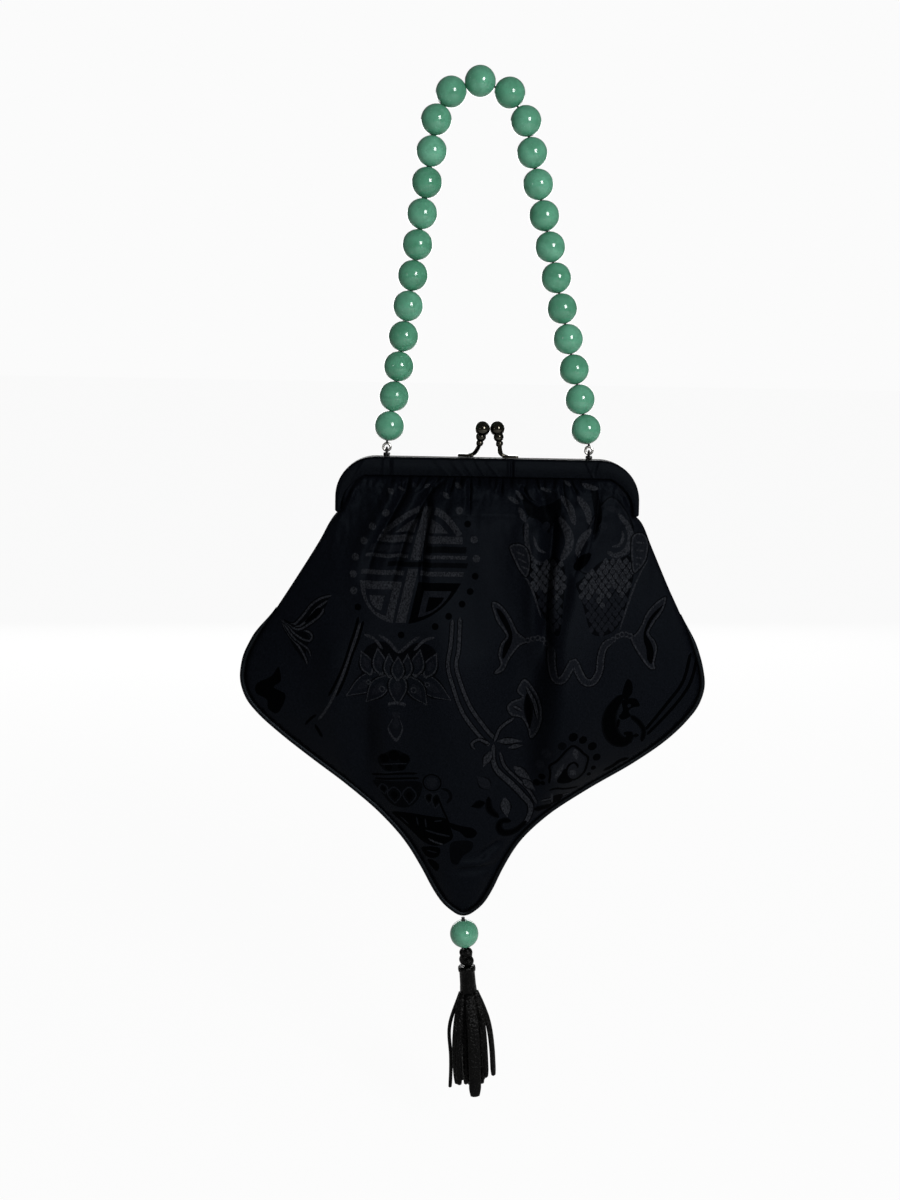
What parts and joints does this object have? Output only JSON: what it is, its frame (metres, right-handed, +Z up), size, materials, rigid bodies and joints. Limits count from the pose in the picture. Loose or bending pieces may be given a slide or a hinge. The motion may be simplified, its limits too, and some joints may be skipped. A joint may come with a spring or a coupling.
{
  "type": "frame bag with bead handle",
  "caption": "Black damask pouch gathered into a snap frame, with a green bead handle, a piped lower edge and a bead-and-leather tassel at its point.",
  "frame": {"origin": "underside of the top bead of the handle, where a hand or a hook holds the bag", "axes": "+Z up along the hanging bag, +X to the right as seen from the front, the front faces -Y"},
  "size_m": [0.1906, 0.0386, 0.4209],
  "materials": {
    "green_stone": "polished",
    "black_thread": "matte",
    "silver": "polished",
    "black_metal": "satin",
    "damask": "satin",
    "satin_piping": "satin",
    "dark_metal": "dark antique",
    "black_leather": "semi-matte"
  },
  "bodies": {
    "root": {"bead_01": "green_stone", "bead_02": "green_stone", "bead_03": "green_stone", "bead_04": "green_stone", "bead_05": "green_stone", "bead_06": "green_stone", "bead_07": "green_stone", "bead_08": "green_stone", "bead_09": "green_stone", "bead_10": "green_stone", "bead_11": "green_stone", "bead_12": "green_stone", "bead_13": "green_stone", "bead_14": "green_stone", "bead_15": "green_stone", "bead_16": "green_stone", "bead_17": "green_stone", "bead_18": "green_stone", "bead_19": "green_stone", "bead_20": "green_stone", "bead_21": "green_stone", "bead_22": "green_stone", "bead_23": "green_stone", "bead_24": "green_stone", "bead_25": "green_stone", "tassel_bead": "green_stone", "bead_thread": "black_thread", "tassel_cord": "black_thread", "end_ring_left": "silver", "end_ring_right": "silver", "frame_loop_left": "black_metal", "frame_loop_right": "black_metal", "hinge_pin_left": "black_metal", "hinge_pin_right": "black_metal", "panel_front": "damask", "panel_back": "damask", "frame_front": "damask", "frame_back": "damask", "piping": "satin_piping", "clasp_knob_left": "dark_metal", "clasp_knob_right": "dark_metal", "tassel_knot": "black_leather", "tassel_collar": "black_leather", "tassel_skirt": "black_leather"}
  },
  "joints": []
}
